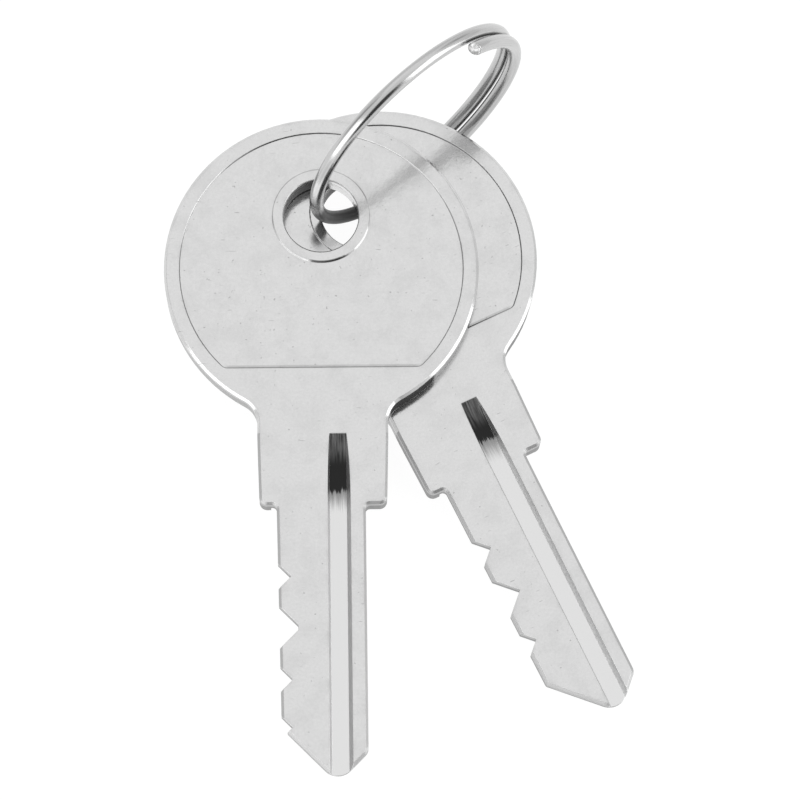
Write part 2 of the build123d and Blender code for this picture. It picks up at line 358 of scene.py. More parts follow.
def key_places(tree, which, seed):
    """Sockets for a point of a key: its place in the key's own frame in millimetres, how level
    the surface lies there (1 on the upper face, -1 on the lower), and its place in the noises,
    which the seed moves so that no two keys are worn alike. The masks are added to it later."""
    to_key = key_frame(which).inverted()
    seat = put(tree, "ShaderNodeTexCoord")
    place = put(tree, "ShaderNodeMapping", {
        "Vector": seat.outputs["Object"], "Location": to_key.to_translation() / MM,
        "Rotation": to_key.to_euler(), "Scale": (1 / MM,) * 3}, vector_type="POINT").outputs[0]
    facing = put(tree, "ShaderNodeMapping", {
        "Vector": seat.outputs["Normal"], "Rotation": to_key.to_euler()},
        vector_type="VECTOR").outputs[0]
    key = SimpleNamespace()
    key.x, key.y, key.z = put(tree, "ShaderNodeSeparateXYZ", {0: place}).outputs
    key.lean = put(tree, "ShaderNodeSeparateXYZ", {0: facing}).outputs[2]
    key.upright = put(tree, "ShaderNodeMath", {0: key.lean}, operation="ABSOLUTE").outputs[0]
    key.shifted = put(tree, "ShaderNodeMapping", {"Vector": place, "Location": (seed, seed, 0)},
                      vector_type="POINT").outputs[0]
    return key


def face_masks(tree, key, finish):
    """The tumbled faces: fine grain, the slow waves of the plate, its dull clouds, and small
    pits and scratches. Real scratches are finer than a pixel, and these are as wide as they
    need to be to show."""
    noises = []
    for size, detail, roughness in (
        (finish.grain, 3.0, 0.6), (finish.peel, 3.0, 0.55), (finish.cloud, 4.0, 0.6),
    ):
        noises.append(put(tree, "ShaderNodeTexNoise", {
            "Vector": key.shifted, "Scale": MM / size, "Detail": detail,
            "Roughness": roughness}).outputs[0])
    key.grain, key.peel, key.cloud = noises
    key.duller = put(tree, "ShaderNodeMapRange", {"Value": key.cloud, 1: 0.42, 2: 0.66},
                     interpolation_type="SMOOTHSTEP").outputs[0]

    # Pits, a quarter of a millimetre across and some millimetres apart
    pits = put(tree, "ShaderNodeTexNoise", {
        "Vector": key.shifted, "Scale": PITS_PER_MM, "Detail": 1.0, "Roughness": 0.4}).outputs[0]
    key.scratches = put(tree, "ShaderNodeMapRange", {"Value": pits, 1: 0.745, 2: 0.79},
                        interpolation_type="SMOOTHSTEP").outputs[0]
    for heading, reach in SCRATCH_SETS:
        stretched = put(tree, "ShaderNodeMapping", {
            "Vector": key.shifted, "Rotation": (0, 0, heading),
            "Scale": (1 / reach, 0.35 * MM / finish.scratch, 1.0)}, vector_type="POINT").outputs[0]
        lines = put(tree, "ShaderNodeTexNoise", {
            "Vector": stretched, "Scale": 1.0, "Detail": 1.0, "Roughness": 0.4}).outputs[0]
        found = put(tree, "ShaderNodeMapRange", {"Value": lines, 1: 0.77, 2: 0.82},
                    interpolation_type="SMOOTHSTEP").outputs[0]
        key.scratches = put(tree, "ShaderNodeMath", {0: key.scratches, 1: found},
                            operation="MAXIMUM").outputs[0]


def edge_masks(tree, key, finish):
    """Edges, rounded by the tumbling, and dull smudges along them where the clouds are dull.
    The nearer an edge, the more the widely rounded normal leans away from the flat one."""
    key.rounded = put(tree, "ShaderNodeBevel", {"Radius": finish.edge}, samples=6).outputs[0]
    wide = put(tree, "ShaderNodeBevel", {"Radius": finish.edge * SMUDGE_WIDTH},
               samples=4).outputs[0]
    flat = put(tree, "ShaderNodeNewGeometry").outputs["True Normal"]
    along = put(tree, "ShaderNodeVectorMath", {0: wide, 1: flat},
                operation="DOT_PRODUCT").outputs["Value"]
    near_edge = put(tree, "ShaderNodeMapRange", {"Value": along, 1: 0.995, 2: 0.85},
                    interpolation_type="SMOOTHSTEP").outputs[0]
    key.smudge = put(tree, "ShaderNodeMath", {0: near_edge, 1: key.duller},
                     operation="MULTIPLY").outputs[0]


def wall_masks(tree, key, finish):
    """The punched walls, which are torn below a wavering line, and the upright tears there."""
    key.wall = put(tree, "ShaderNodeMapRange", {"Value": key.upright, 1: 0.45, 2: 0.25},
                   interpolation_type="SMOOTHSTEP").outputs[0]
    key.waver = put(tree, "ShaderNodeTexNoise", {
        "Vector": key.shifted, "Scale": 0.9, "Detail": 3.0, "Roughness": 0.6}).outputs[0]
    line = put(tree, "ShaderNodeMath", {
        0: key.waver, 1: BURNISH_WAVER, 2: -finish.burnish / MM - BURNISH_WAVER / 2},
        operation="MULTIPLY_ADD").outputs[0]
    below = put(tree, "ShaderNodeMath", {0: line, 1: key.z}, operation="SUBTRACT").outputs[0]
    low = put(tree, "ShaderNodeMapRange", {"Value": below, 1: -0.05, 2: 0.1},
              interpolation_type="SMOOTHSTEP").outputs[0]
    key.torn = put(tree, "ShaderNodeMath", {0: key.wall, 1: low}, operation="MULTIPLY").outputs[0]
    upwards = put(tree, "ShaderNodeMapping", {"Vector": key.shifted, "Scale": (6.0, 6.0, 1.6)},
                  vector_type="POINT").outputs[0]
    key.tear = put(tree, "ShaderNodeTexNoise", {
        "Vector": upwards, "Scale": 1.0, "Detail": 3.0, "Roughness": 0.6}).outputs[0]


def press_masks(tree, key, neck_grime):
    """The slopes that the press left: the rolled edges of the blade, the painted shade at the foot of those on the
    bow, which spreads past the panel's flat foot, and the painted shade on the walls in the corner where the bow
    meets the stem, which covers the plate."""
    blade = put(tree, "ShaderNodeMath", {0: key.y, 1: GROOVE_TOP}, operation="LESS_THAN").outputs[0]
    key.steep = put(tree, "ShaderNodeMapRange", {"Value": key.upright, 1: 0.97, 2: 0.9},
                    interpolation_type="SMOOTHSTEP").outputs[0]
    key.rolled = put(tree, "ShaderNodeMath", {0: key.steep, 1: blade},
                     operation="MULTIPLY").outputs[0]
    # The foot of the press slopes on the bow, where painted shade goes
    pressed = put(tree, "ShaderNodeMapRange", {"Value": key.z, 1: -0.01, 2: -0.05}).outputs[0]
    key.shallow = put(tree, "ShaderNodeMath", {0: key.z, 1: PRESSED_TO},
                      operation="GREATER_THAN").outputs[0]
    key.foot = pressed
    for share in (key.shallow, key.steep):
        key.foot = put(tree, "ShaderNodeMath", {0: key.foot, 1: share},
                       operation="MULTIPLY").outputs[0]
    key.foot = put(tree, "ShaderNodeMath", {0: key.foot, 1: blade}, operation="SUBTRACT",
                   use_clamp=True).outputs[0]

    # Painted shade spreads a little past the panel's flat foot
    beside = put(tree, "ShaderNodeMath", {0: key.y, 1: PANEL_FOOT}, operation="SUBTRACT").outputs[0]
    beside = put(tree, "ShaderNodeMath", {0: beside}, operation="ABSOLUTE").outputs[0]
    key.spread = put(tree, "ShaderNodeMapRange", {
        "Value": beside, 1: 0.2, 2: 0.08, 4: SPREAD_SHARE},
        interpolation_type="SMOOTHSTEP").outputs[0]
    reach = put(tree, "ShaderNodeMath", {0: key.x}, operation="ABSOLUTE").outputs[0]
    reach = put(tree, "ShaderNodeMapRange", {
        "Value": reach, 1: PANEL_FOOT_REACH + 0.2, 2: PANEL_FOOT_REACH - 0.2}).outputs[0]
    for share in (reach, key.shallow):
        key.spread = put(tree, "ShaderNodeMath", {0: key.spread, 1: share},
                         operation="MULTIPLY").outputs[0]

    # Painted shade on the walls in the corner where the bow meets the stem
    neck_x = put(tree, "ShaderNodeMath", {0: key.x, 1: NECK_X}, operation="SUBTRACT").outputs[0]
    neck_y = put(tree, "ShaderNodeMath", {0: key.y, 1: -NECK_Y}, operation="ADD").outputs[0]
    neck_x = put(tree, "ShaderNodeMath", {0: neck_x, 1: neck_x}, operation="MULTIPLY").outputs[0]
    neck = put(tree, "ShaderNodeMath", {0: neck_y, 1: neck_y, 2: neck_x},
               operation="MULTIPLY_ADD").outputs[0]
    neck = put(tree, "ShaderNodeMath", {0: key.waver, 1: 5.0, 2: neck},
               operation="MULTIPLY_ADD").outputs[0]
    key.stained = put(tree, "ShaderNodeMapRange", {"Value": neck, 1: 8.5, 2: 6.5},
                      interpolation_type="SMOOTHSTEP").outputs[0]
    for share in (key.wall, neck_grime):
        key.stained = put(tree, "ShaderNodeMath", {0: key.stained, 1: share},
                          operation="MULTIPLY").outputs[0]


def hole_masks(tree, key):
    """The hole's wall, painted dark with wear from rubbing and with painted shade on the side that the ring hangs
    against, and painted light as a highlight on the rest, its rolled rim, and the painted shade of a curved band
    at the foot of the boss towards the stem."""
    heading = radians(HANG_HEADING)
    across = put(tree, "ShaderNodeMath", {0: key.x, 1: cos(heading)},
                 operation="MULTIPLY").outputs[0]
    above = put(tree, "ShaderNodeMath", {0: key.y, 1: HOLE_RISE}, operation="SUBTRACT").outputs[0]
    side = put(tree, "ShaderNodeMath", {0: above, 1: sin(heading), 2: across},
               operation="MULTIPLY_ADD").outputs[0]
    side = put(tree, "ShaderNodeMath", {0: key.tear, 1: 0.8, 2: side},
               operation="MULTIPLY_ADD").outputs[0]
    hung = put(tree, "ShaderNodeMapRange", {"Value": side, 1: 1.9, 2: 2.3},
               interpolation_type="SMOOTHSTEP").outputs[0]
    out_x = put(tree, "ShaderNodeMath", {0: key.x, 1: key.x}, operation="MULTIPLY").outputs[0]
    out = put(tree, "ShaderNodeMath", {0: above, 1: above, 2: out_x},
              operation="MULTIPLY_ADD").outputs[0]
    from_middle = put(tree, "ShaderNodeMath", {0: key.y, 1: key.y, 2: out_x},
                      operation="MULTIPLY_ADD").outputs[0]
    circles = []
    for square, radius, past in (
        (out, HOLE_RADIUS + 0.06, "LESS_THAN"), (out, HOLE_RADIUS + 0.4, "LESS_THAN"),
        (out, BOSS_RADIUS + 0.3, "GREATER_THAN"), (from_middle, PANEL_RADIUS, "LESS_THAN"),
    ):
        circles.append(put(tree, "ShaderNodeMath", {0: square, 1: radius ** 2},
                           operation=past).outputs[0])
    inside, key.rim, off_boss, on_bow = circles
    for share in (key.steep, key.shallow):
        key.rim = put(tree, "ShaderNodeMath", {0: key.rim, 1: share},
                      operation="MULTIPLY").outputs[0]
    key.outline = put(tree, "ShaderNodeMath", {0: key.wall, 1: inside}, operation="SUBTRACT",
                      use_clamp=True).outputs[0]
    # The hole's wall, painted light as a highlight
    key.bore = put(tree, "ShaderNodeMath", {0: key.wall, 1: inside},
                   operation="MULTIPLY").outputs[0]
    key.inside = inside
    key.on_panel = put(tree, "ShaderNodeMath", {0: off_boss, 1: on_bow},
                       operation="MULTIPLY").outputs[0]
    # The hole's wall where the ring hangs is painted dark, as wear from rubbing and as painted shade
    key.rubbed = hung
    for share in (inside, key.wall):
        key.rubbed = put(tree, "ShaderNodeMath", {0: key.rubbed, 1: share},
                         operation="MULTIPLY").outputs[0]

    # Painted shade in a curved band at the foot of the boss, towards the stem
    key.arc = put(tree, "ShaderNodeMapRange", {
        "Value": out, 1: (BOSS_RADIUS - 0.2) ** 2, 2: (BOSS_RADIUS - 0.13) ** 2}).outputs[0]
    outer = put(tree, "ShaderNodeMapRange", {
        "Value": out, 1: (BOSS_RADIUS + 0.04) ** 2, 2: (BOSS_RADIUS - 0.03) ** 2}).outputs[0]
    low = put(tree, "ShaderNodeMath", {0: key.tear, 1: 0.9, 2: above},
              operation="MULTIPLY_ADD").outputs[0]
    low = put(tree, "ShaderNodeMapRange", {"Value": low, 1: -2.7, 2: -3.0}).outputs[0]
    rightward = put(tree, "ShaderNodeMapRange", {
        "Value": key.x, 1: -1.1, 2: -0.7, 4: ARC_SHARE}).outputs[0]
    for share in (outer, low, rightward):
        key.arc = put(tree, "ShaderNodeMath", {0: key.arc, 1: share},
                      operation="MULTIPLY").outputs[0]


def groove_masks(tree, key, dark_until, marks_until):
    """The groove: its floor, its side walls, and the run-out, darker and with lengthwise marks in it, which ends
    raggedly at two places along the key."""
    sunk = put(tree, "ShaderNodeMapRange", {"Value": key.z, 1: -0.01, 2: -0.03}).outputs[0]
    sunk_from = put(tree, "ShaderNodeMath", {0: key.y, 1: GROOVE_TOP + 0.1},
                    operation="LESS_THAN").outputs[0]
    sunk = put(tree, "ShaderNodeMath", {0: sunk, 1: sunk_from}, operation="MULTIPLY").outputs[0]
    left = put(tree, "ShaderNodeMapRange", {
        "Value": key.x, 1: GROOVE_LEFT - 0.03, 2: GROOVE_LEFT}).outputs[0]
    right = put(tree, "ShaderNodeMapRange", {
        "Value": key.x, 1: GROOVE_RIGHT + 0.03, 2: GROOVE_RIGHT}).outputs[0]
    limits = []
    for value, limit, past in (
        (key.lean, 0.8, "GREATER_THAN"), (key.x, GROOVE_LEFT - 0.2, "GREATER_THAN"),
        (key.x, GROOVE_RIGHT + 0.32, "LESS_THAN"), (key.z, -GROOVE_DEPTH - 0.02, "GREATER_THAN"),
    ):
        limits.append(put(tree, "ShaderNodeMath", {0: value, 1: limit}, operation=past).outputs[0])
    level, wide_left, wide_right, over_floor = limits
    key.channel = left
    for share in (right, level, sunk):
        key.channel = put(tree, "ShaderNodeMath", {0: key.channel, 1: share},
                          operation="MULTIPLY").outputs[0]
    key.sides = wide_left
    for share in (wide_right, over_floor, sunk, key.steep):
        key.sides = put(tree, "ShaderNodeMath", {0: key.sides, 1: share},
                        operation="MULTIPLY").outputs[0]

    lengthwise = put(tree, "ShaderNodeMapping", {"Vector": key.shifted, "Scale": (7.0, 0.3, 1.0)},
                     vector_type="POINT").outputs[0]
    key.marks = put(tree, "ShaderNodeTexNoise", {
        "Vector": lengthwise, "Scale": 1.0, "Detail": 4.0, "Roughness": 0.7}).outputs[0]
    ragged = put(tree, "ShaderNodeMath", {0: key.marks, 1: 2.0, 2: key.y},
                 operation="MULTIPLY_ADD").outputs[0]
    dark = put(tree, "ShaderNodeMapRange", {
        "Value": ragged, 1: dark_until + 0.5, 2: dark_until + 1.0},
        interpolation_type="SMOOTHSTEP").outputs[0]
    trailing = put(tree, "ShaderNodeMapRange", {
        "Value": ragged, 1: marks_until + 0.6, 2: dark_until + 0.9},
        interpolation_type="SMOOTHSTEP").outputs[0]
    trailing = put(tree, "ShaderNodeMath", {0: trailing, 1: TRAIL_SHARE},
                   operation="MULTIPLY").outputs[0]
    run_out = put(tree, "ShaderNodeMath", {0: dark, 1: trailing}, operation="MAXIMUM").outputs[0]
    key.run_out = put(tree, "ShaderNodeMath", {0: run_out, 1: key.channel},
                      operation="MULTIPLY").outputs[0]
    key.lit = put(tree, "ShaderNodeMapRange", {"Value": key.marks, 1: 0.35, 2: 0.7}).outputs[0]
    upper = put(tree, "ShaderNodeMapRange", {
        "Value": key.y, 1: GROOVE_TOP - 2.6, 2: GROOVE_TOP - 0.9},
        interpolation_type="SMOOTHSTEP").outputs[0]
    for share in (upper, STREAK_SHARE):
        key.lit = put(tree, "ShaderNodeMath", {0: key.lit, 1: share},
                      operation="MULTIPLY").outputs[0]


def key_tone(tree, key, finish):
    """A key's colour: the plate first, then one layer over the other, finishes, wear, painted shade and a painted
    highlight, each by its mask.
    """
    tone = put(tree, "ShaderNodeMix", {
        0: key.duller, 6: finish.plate[:], 7: finish.plate_shade[:]}, data_type="RGBA").outputs[2]
    fine = put(tree, "ShaderNodeMapRange", {
        "Value": key.grain, 1: 0.25, 2: 0.75, 3: 0.955, 4: 1.04}).outputs[0]
    tone = put(tree, "ShaderNodeVectorMath", {0: tone, 3: fine}, operation="SCALE").outputs[0]
    shade = put(tree, "ShaderNodeMath", {0: key.smudge, 1: SMUDGE_SHARE},
                operation="MULTIPLY").outputs[0]
    speck = put(tree, "ShaderNodeMath", {0: key.scratches, 1: SPECK_SHARE},
                operation="MULTIPLY").outputs[0]
    # Painted shade at the foot of the panel's slopes, a little past it, and at the foot of the boss
    key.dirt = put(tree, "ShaderNodeMapRange", {
        "Value": key.cloud, 1: 0.3, 2: 0.7, 3: 0.7, 4: 0.25}).outputs[0]
    for share in (key.foot, key.on_panel):
        key.dirt = put(tree, "ShaderNodeMath", {0: key.dirt, 1: share},
                       operation="MULTIPLY").outputs[0]
    for share in (key.arc, key.spread):
        key.dirt = put(tree, "ShaderNodeMath", {0: key.dirt, 1: share},
                       operation="MAXIMUM").outputs[0]
    rips = put(tree, "ShaderNodeMapRange", {
        "Value": key.tear, 1: 0.3, 2: 0.6, 3: 0.75, 4: 1.0}).outputs[0]
    rips = put(tree, "ShaderNodeMath", {0: key.torn, 1: rips}, operation="MULTIPLY").outputs[0]
    rips = put(tree, "ShaderNodeMath", {0: rips, 1: key.inside}, operation="SUBTRACT",
               use_clamp=True).outputs[0]
    milled = put(tree, "ShaderNodeMix", {
        0: key.lit, 6: finish.milling[:], 7: finish.plate_shade[:]}, data_type="RGBA").outputs[2]
    # Over the plate: finishes, wear, painted shade and, on the hole's wall, a painted highlight
    for share, over in (
        (shade, finish.torn[:]), (speck, finish.torn[:]), (key.channel, finish.groove[:]),
        (key.dirt, finish.grime[:]), (key.rolled, finish.rolled[:]),
        (key.outline, finish.burnished[:]), (key.bore, finish.polished[:]),
        (rips, finish.torn[:]), (key.stained, finish.grime[:]), (key.rubbed, finish.grime[:]),
        (key.sides, finish.plate_shade[:]), (key.run_out, milled),
    ):
        tone = put(tree, "ShaderNodeMix", {0: share, 6: tone, 7: over}, data_type="RGBA").outputs[2]
    return tone


def nickel_plated_key(name, which, finish, seed, dark_until, marks_until, neck_grime):
    """Bright nickel plate over a brass blank that was punched and then tumbled. The tumbling leaves a soft, nearly
    even satin mirror with faint clouds; the punch leaves edges that are rolled over and walls that are burnished
    at the top and torn below; the groove's run-out is darker, with close lengthwise marks, and its dark ends at
    two places along the key. Painted shade darkens the hole's wall where the ring hangs, the foot of the panel and
    of the boss, and the corner at the neck, and a painted highlight lightens the rest of the hole's wall."""
    material, tree = empty_material(name)
    key = key_places(tree, which, seed)
    face_masks(tree, key, finish)
    edge_masks(tree, key, finish)
    wall_masks(tree, key, finish)
    press_masks(tree, key, neck_grime)
    hole_masks(tree, key)
    groove_masks(tree, key, dark_until, marks_until)
    tone = key_tone(tree, key, finish)

    # Satin faces, and what each kind of wear adds to their roughness
    rough = put(tree, "ShaderNodeMapRange", {
        "Value": key.cloud, 1: 0.3, 2: 0.7, 3: 0.12, 4: 0.17}).outputs[0]
    for share, more in (
        (key.rolled, 0.28), (key.dirt, 0.15), (key.rim, 0.22), (key.torn, 0.1),
        (key.scratches, 0.1), (key.run_out, 0.2), (key.rubbed, 0.1), (key.stained, 0.6),
    ):
        rough = put(tree, "ShaderNodeMath", {0: share, 1: more, 2: rough},
                    operation="MULTIPLY_ADD").outputs[0]

    # Relief, in metres of height
    relief = put(tree, "ShaderNodeMath", {0: key.grain, 1: 0.0000004},
                 operation="MULTIPLY").outputs[0]
    for height, rise in ((key.peel, 0.000008), (key.scratches, -0.000002)):
        relief = put(tree, "ShaderNodeMath", {0: height, 1: rise, 2: relief},
                     operation="MULTIPLY_ADD").outputs[0]
    for share, pattern, rise in ((key.torn, key.tear, 0.00002), (key.run_out, key.marks, 0.00001)):
        deep = put(tree, "ShaderNodeMath", {0: share, 1: pattern}, operation="MULTIPLY").outputs[0]
        relief = put(tree, "ShaderNodeMath", {0: deep, 1: rise, 2: relief},
                     operation="MULTIPLY_ADD").outputs[0]
    bump = put(tree, "ShaderNodeBump", {
        "Height": relief, "Strength": 1.0, "Distance": 1.0, "Normal": key.rounded}).outputs[0]

    # Painted shade on the neck's walls covers the metal, and so does most of the hole wall's dark wear and painted
    # shade
    covered = put(tree, "ShaderNodeMath", {0: key.rubbed, 1: 0.8, 2: key.stained},
                  operation="MULTIPLY_ADD").outputs[0]
    bare = put(tree, "ShaderNodeMath", {0: 1.0, 1: covered}, operation="SUBTRACT",
               use_clamp=True).outputs[0]
    plate = put(tree, "ShaderNodeBsdfPrincipled", {
        "Base Color": tone, "Metallic": bare, "Roughness": rough,
        "Specular IOR Level": GRIME_GLOSS, "Normal": bump})
    put(tree, "ShaderNodeOutputMaterial", {"Surface": plate.outputs[0]})
    return material


def nickel_plated_wire(name, sizes):
    """Bright nickel plate over hard-drawn spring wire. The drawing die leaves faint lines along the wire, which
    stretch every reflection along the coil. Where the keys hang, the wire is painted dark, partly as wear from
    their rubbing and partly as painted shade, and painted shade darkens it where the turns meet."""
    material, tree = empty_material(name)
    seat = put(tree, "ShaderNodeTexCoord")
    unrolled = put(tree, "ShaderNodeSeparateXYZ", {0: seat.outputs["UV"]})
    run, girth = unrolled.outputs[0], unrolled.outputs[1]
    drawn = put(tree, "ShaderNodeMapping", {
        "Vector": seat.outputs["UV"], "Scale": (0.22, 7.0, 1.0)}, vector_type="POINT").outputs[0]
    lines = put(tree, "ShaderNodeTexNoise", {
        "Vector": drawn, "Scale": 1.0, "Detail": 4.0, "Roughness": 0.6}).outputs[0]
    cloud = put(tree, "ShaderNodeTexNoise", {
        "Vector": seat.outputs["UV"], "Scale": 0.8, "Detail": 3.0, "Roughness": 0.6}).outputs[0]
    nicks = put(tree, "ShaderNodeTexNoise", {
        "Vector": seat.outputs["UV"], "Scale": 4.0, "Detail": 2.0, "Roughness": 0.5}).outputs[0]
    nicked = put(tree, "ShaderNodeMapRange", {"Value": nicks, 1: 0.7, 2: 0.76},
                 interpolation_type="SMOOTHSTEP").outputs[0]

    # Where the keys hang and the wire is painted dark, as wear and as painted shade, in millimetres along the wire
    # from its first end
    per_radian = (coil_point(sizes, 0.01) - coil_point(sizes, 0.0)).length / 0.01 / MM
    worn = [(radians(angle) - sizes.first_end) * per_radian + WORN_WAVER / 2 for angle in WORN]
    wavering = put(tree, "ShaderNodeMath", {0: lines, 1: WORN_WAVER, 2: run},
                   operation="MULTIPLY_ADD").outputs[0]
    begun = put(tree, "ShaderNodeMapRange", {"Value": wavering, 1: worn[0], 2: worn[1]},
                interpolation_type="SMOOTHSTEP").outputs[0]
    ended = put(tree, "ShaderNodeMapRange", {"Value": wavering, 1: worn[3], 2: worn[2]},
                interpolation_type="SMOOTHSTEP").outputs[0]
    streaky = put(tree, "ShaderNodeMapRange", {
        "Value": lines, 1: 0.3, 2: 0.7, 3: 1.0, 4: 0.93}).outputs[0]
    rubbed = begun
    for share in (ended, streaky):
        rubbed = put(tree, "ShaderNodeMath", {0: rubbed, 1: share}, operation="MULTIPLY").outputs[0]

    # Painted shade along the seam between the turns, on the side of each that has a neighbour
    seams = []
    for angle, past, side in SEAMS:
        beside = put(tree, "ShaderNodeMath", {
            0: run, 1: (radians(angle) - sizes.first_end) * per_radian}, operation=past).outputs[0]
        off = put(tree, "ShaderNodeMath", {0: girth, 1: side * pi * sizes.wire / MM},
                  operation="SUBTRACT").outputs[0]
        off = put(tree, "ShaderNodeMath", {0: off}, operation="ABSOLUTE").outputs[0]
        off = put(tree, "ShaderNodeMath", {0: cloud, 1: -0.3, 2: off},
                  operation="MULTIPLY_ADD").outputs[0]
        narrow = put(tree, "ShaderNodeMapRange", {"Value": off, 1: 0.28, 2: 0.02},
                     interpolation_type="SMOOTHSTEP").outputs[0]
        seams.append(put(tree, "ShaderNodeMath", {0: narrow, 1: beside},
                         operation="MULTIPLY").outputs[0])
    seam = put(tree, "ShaderNodeMath", {0: seams[0], 1: seams[1]}, operation="MAXIMUM").outputs[0]
    seam = put(tree, "ShaderNodeMath", {0: seam, 1: SEAM_SHARE}, operation="MULTIPLY").outputs[0]

    # The sheared ends, beyond the last full ring of the tube
    whole = (sizes.last_end - sizes.first_end) * per_radian
    before = put(tree, "ShaderNodeMath", {0: run, 1: 0.02}, operation="LESS_THAN").outputs[0]
    after = put(tree, "ShaderNodeMath", {0: run, 1: whole - 0.02},
                operation="GREATER_THAN").outputs[0]
    cut = put(tree, "ShaderNodeMath", {0: before, 1: after}, operation="MAXIMUM").outputs[0]
    rips = put(tree, "ShaderNodeTexNoise", {
        "Vector": seat.outputs["Object"], "Scale": 2600.0, "Detail": 3.0,
        "Roughness": 0.65}).outputs[0]
    ripped = put(tree, "ShaderNodeMapRange", {"Value": rips, 1: 0.4, 2: 0.6}).outputs[0]
    steel = put(tree, "ShaderNodeMix", {
        0: ripped, 6: sizes.sheared[:], 7: sizes.ripped[:]}, data_type="RGBA").outputs[2]

    dull = put(tree, "ShaderNodeMapRange", {"Value": lines, 1: 0.4, 2: 0.66},
               interpolation_type="SMOOTHSTEP").outputs[0]
    tone = put(tree, "ShaderNodeMix", {
        0: dull, 6: sizes.plate[:], 7: sizes.plate_shade[:]}, data_type="RGBA").outputs[2]
    dark = put(tree, "ShaderNodeMath", {0: rubbed, 1: seam}, operation="MAXIMUM").outputs[0]
    for share, over in ((dark, sizes.grime[:]), (cut, steel)):
        tone = put(tree, "ShaderNodeMix", {0: share, 6: tone, 7: over}, data_type="RGBA").outputs[2]
    rough = put(tree, "ShaderNodeMapRange", {
        "Value": cloud, 1: 0.3, 2: 0.7, 3: 0.16, 4: 0.22}).outputs[0]
    for share, more in ((nicked, 0.12), (dark, 0.15), (cut, 0.15)):
        rough = put(tree, "ShaderNodeMath", {0: share, 1: more, 2: rough},
                    operation="MULTIPLY_ADD").outputs[0]

    # Relief, in metres of height
    relief = put(tree, "ShaderNodeMath", {0: lines, 1: 0.0000008}, operation="MULTIPLY").outputs[0]
    torn = put(tree, "ShaderNodeMath", {0: cut, 1: rips}, operation="MULTIPLY").outputs[0]
    for height, rise in ((nicked, -0.000003), (torn, 0.00008)):
        relief = put(tree, "ShaderNodeMath", {0: height, 1: rise, 2: relief},
                     operation="MULTIPLY_ADD").outputs[0]
    bump = put(tree, "ShaderNodeBump", {
        "Height": relief, "Strength": 1.0, "Distance": 1.0}).outputs[0]

    # Where the keys hang, the painted dark of wear and shade covers nearly all of the metal
    bare = put(tree, "ShaderNodeMath", {0: rubbed, 1: -0.95, 2: 1.0},
               operation="MULTIPLY_ADD").outputs[0]
    plate = put(tree, "ShaderNodeBsdfPrincipled", {
        "Base Color": tone, "Metallic": bare, "Roughness": rough,
        "Specular IOR Level": GRIME_GLOSS, "Normal": bump})
    put(tree, "ShaderNodeOutputMaterial", {"Surface": plate.outputs[0]})
    return material


def white_paper(settings):
    """Matte white paper. The camera sees it brighter than the lamps make it, so that it is
    white with a faint shadow, and the metal mirrors it nearly as white."""
    material, tree = empty_material("white_paper")
    seat = put(tree, "ShaderNodeTexCoord")
    fibre = put(tree, "ShaderNodeTexNoise", {
        "Vector": seat.outputs["Object"], "Scale": 900.0, "Detail": 3.0}).outputs[0]
    bump = put(tree, "ShaderNodeBump", {
        "Height": fibre, "Strength": 0.15, "Distance": 0.00002}).outputs[0]
    sheet = put(tree, "ShaderNodeBsdfPrincipled", {
        "Base Color": settings.paper[:], "Roughness": 0.85, "IOR": 1.45, "Normal": bump}).outputs[0]
    ray = put(tree, "ShaderNodeLightPath")
    glossy = put(tree, "ShaderNodeMath", {
        0: ray.outputs["Is Glossy Ray"], 1: ray.outputs["Is Transmission Ray"]},
        operation="MAXIMUM").outputs[0]
    glossy = put(tree, "ShaderNodeMath", {0: glossy, 1: MIRROR_SHARE},
                 operation="MULTIPLY").outputs[0]
    seen = put(tree, "ShaderNodeMath", {
        0: ray.outputs["Is Camera Ray"], 1: CAMERA_SHARE, 2: glossy},
        operation="MULTIPLY_ADD").outputs[0]
    glow = put(tree, "ShaderNodeEmission", {
        "Color": (1, 1, 1, 1), "Strength": PAPER_GLOW}).outputs[0]
    both = put(tree, "ShaderNodeMixShader", {0: seen, 1: sheet, 2: glow}).outputs[0]
    put(tree, "ShaderNodeOutputMaterial", {"Surface": both})
    return material


class KEYS_OT_split_ring(bpy.types.Operator):
    """Winds the split ring through the holes of both keys"""
    bl_idname = "keys.split_ring"
    bl_label = "Wind the split ring"

    def execute(self, context):
        sizes = context.scene.ring_sizes
        coil = bpy.data.objects.new("split_ring_wire", wind_ring(sizes))
        context.collection.objects.link(coil)
        coil.data.materials.append(nickel_plated_wire("nickel_plated_spring_wire", sizes))
        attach(coil, "split_ring")
        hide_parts("split_ring")
        return {"FINISHED"}


class KEYS_OT_flat_keys(bpy.types.Operator):
    """Plates the two flat keys, each with its own grain and wear"""
    bl_idname = "keys.flat_keys"
    bl_label = "Plate the flat keys"

    def execute(self, context):
        finish = context.scene.key_finish
        # Per key: its seed, where its run-out's dark and marks end, and how strong the painted shade in its neck
        # is
        for which, seed, dark_until, marks_until, neck_grime in (
            ("front", 0.0, -18.0, -19.4, 0.95),
            ("rear", 40.0, -16.9, -18.6, 0.4),
        ):
            plate = nickel_plated_key("nickel_plated_" + which + "_key", which, finish, seed,
                                      dark_until, marks_until, neck_grime)
            for slot in NODES[which + "_key"].material_slots:
                slot.link = "OBJECT"
                slot.material = plate
        return {"FINISHED"}


class KEYS_OT_stage(bpy.types.Operator):
    """Sets up the paper, the lamps, the light tent and the camera"""
    bl_idname = "keys.stage"
    bl_label = "Set up the picture"

    def execute(self, context):
        scene = context.scene
        settings = scene.stage_settings
        lay_paper(context, settings)
        for name, place in LAMPS.items():
            hang_lamp(context, settings, name, *place)
        pitch_tent(scene, settings)
        stand_camera(context, settings)
        scene.view_settings.view_transform = "Standard"
        return {"FINISHED"}


